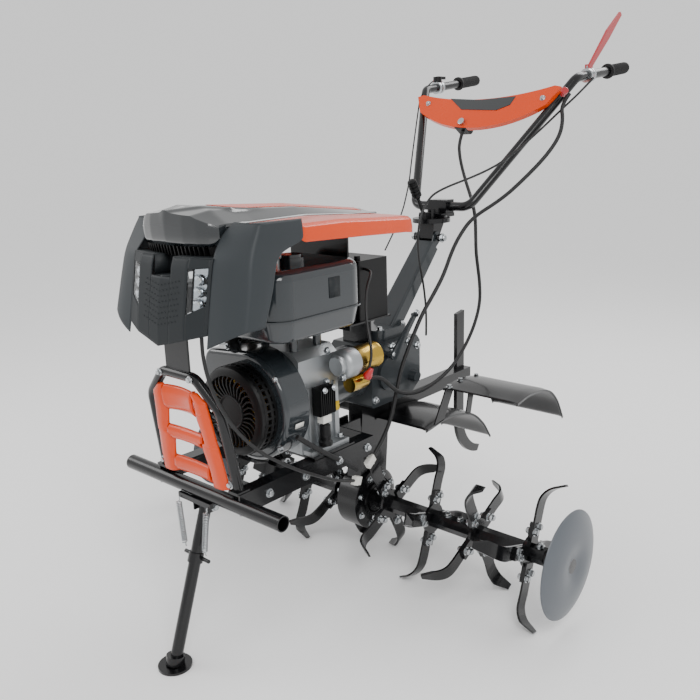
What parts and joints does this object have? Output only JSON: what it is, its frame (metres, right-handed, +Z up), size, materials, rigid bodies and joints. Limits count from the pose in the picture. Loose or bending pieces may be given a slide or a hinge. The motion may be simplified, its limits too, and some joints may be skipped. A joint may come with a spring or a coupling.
{
  "type": "power tiller",
  "caption": "Walk-behind power tiller with a tined rotor, open engine under a moulded hood, swivelling handlebar and a fold-up front stand.",
  "frame": {"origin": "on the ground, on the centreline, half way along the machine", "axes": "X to the machine's left, Y to its rear (the operator's end), Z up"},
  "size_m": [1.466, 1.9315, 1.7037],
  "materials": {
    "black_enamel": "gloss black enamel over steel",
    "disc_grey": "smooth grey enamel",
    "grey_enamel": "gloss dark grey enamel",
    "gearbox_grey": "grey enamel over cast iron",
    "orange_plastic": "moulded gloss orange plastic",
    "hood_grey": "matt dark grey moulded plastic",
    "wing_grey": "matt grey moulded plastic",
    "top_plate_grey": "gloss dark grey moulded plastic",
    "black_plastic": "matt black plastic",
    "lamp_lens": "clear lamp lens",
    "cast_aluminium": "die-cast aluminium",
    "yellow_zinc": "yellow passivated zinc plate",
    "zinc_wire": "bright zinc plated spring wire",
    "muffler_steel": "heat-dulled steel",
    "grip_rubber": "ribbed black rubber",
    "red_lever": "red plastic coat"
  },
  "bodies": {
    "chassis": {"air_cleaner": "black_plastic", "battery": "black_plastic", "battery_tray": "black_enamel", "bumper_grille": "orange_plastic", "bumper_hoop": "black_enamel", "clutch_housing": "gearbox_grey", "column": "gearbox_grey", "crankcase": "cast_aluminium", "cylinder_head": "cast_aluminium", "drag_bar": "black_enamel", "drive_leg": "black_enamel", "fan_shroud": "grey_enamel", "fender_left": "black_enamel", "fender_right": "black_enamel", "frame_rails": "black_enamel", "front_tube": "black_enamel", "fuel_tank": "grey_enamel", "gearbox_case": "gearbox_grey", "headlamps": "lamp_lens", "hitch_arm": "black_enamel", "hood_nose": "hood_grey", "hood_roof": "orange_plastic", "hood_stay": "black_enamel", "hood_top": "top_plate_grey", "hood_wing_left": "wing_grey", "hood_wing_right": "wing_grey", "leg_tie_bracket": "black_enamel", "muffler": "muffler_steel", "recoil_starter": "black_plastic", "regulator": "black_plastic", "shift_arm": "gearbox_grey", "stand_bracket": "black_enamel", "starter_motor": "yellow_zinc"},
    "rotor": {"tine_group_left_inner": "black_enamel", "tine_group_left_outer": "black_enamel", "tine_group_right_inner": "black_enamel", "tine_group_right_outer": "black_enamel", "rotor_shaft": "black_enamel", "end_discs": "disc_grey"},
    "stand": {"stand_leg": "black_enamel", "stand_springs": "zinc_wire"},
    "head": {"pivot_head": "black_enamel", "lock_lever": "black_plastic"},
    "handlebar": {"handlebar_tube": "black_enamel", "bar_clamp": "black_enamel", "handle_panel": "orange_plastic", "key_switch": "black_plastic", "grips": "grip_rubber", "clutch_lever": "red_lever", "throttle_lever": "black_plastic"}
  },
  "joints": [
    {"name": "rotor_spin", "type": "hinge", "parent": "chassis", "child": "rotor", "pos_m": [0, -0.147, 0.1917], "axis": [1, 0, 0], "continuous": true},
    {"name": "stand_fold", "type": "hinge", "parent": "chassis", "child": "stand", "pos_m": [0, -0.78, 0.4047], "axis": [1, 0, 0], "range_deg": [0, 95], "deforming": ["stand_springs"]},
    {"name": "bar_tilt", "type": "hinge", "parent": "chassis", "child": "head", "pos_m": [0, 0.204, 0.9852], "axis": [1, 0, 0], "range_deg": [-25, 10]},
    {"name": "bar_swivel", "type": "hinge", "parent": "head", "child": "handlebar", "pos_m": [0, 0.218, 1.0477], "axis": [0, 0, 1], "range_deg": [-35, 35]}
  ]
}
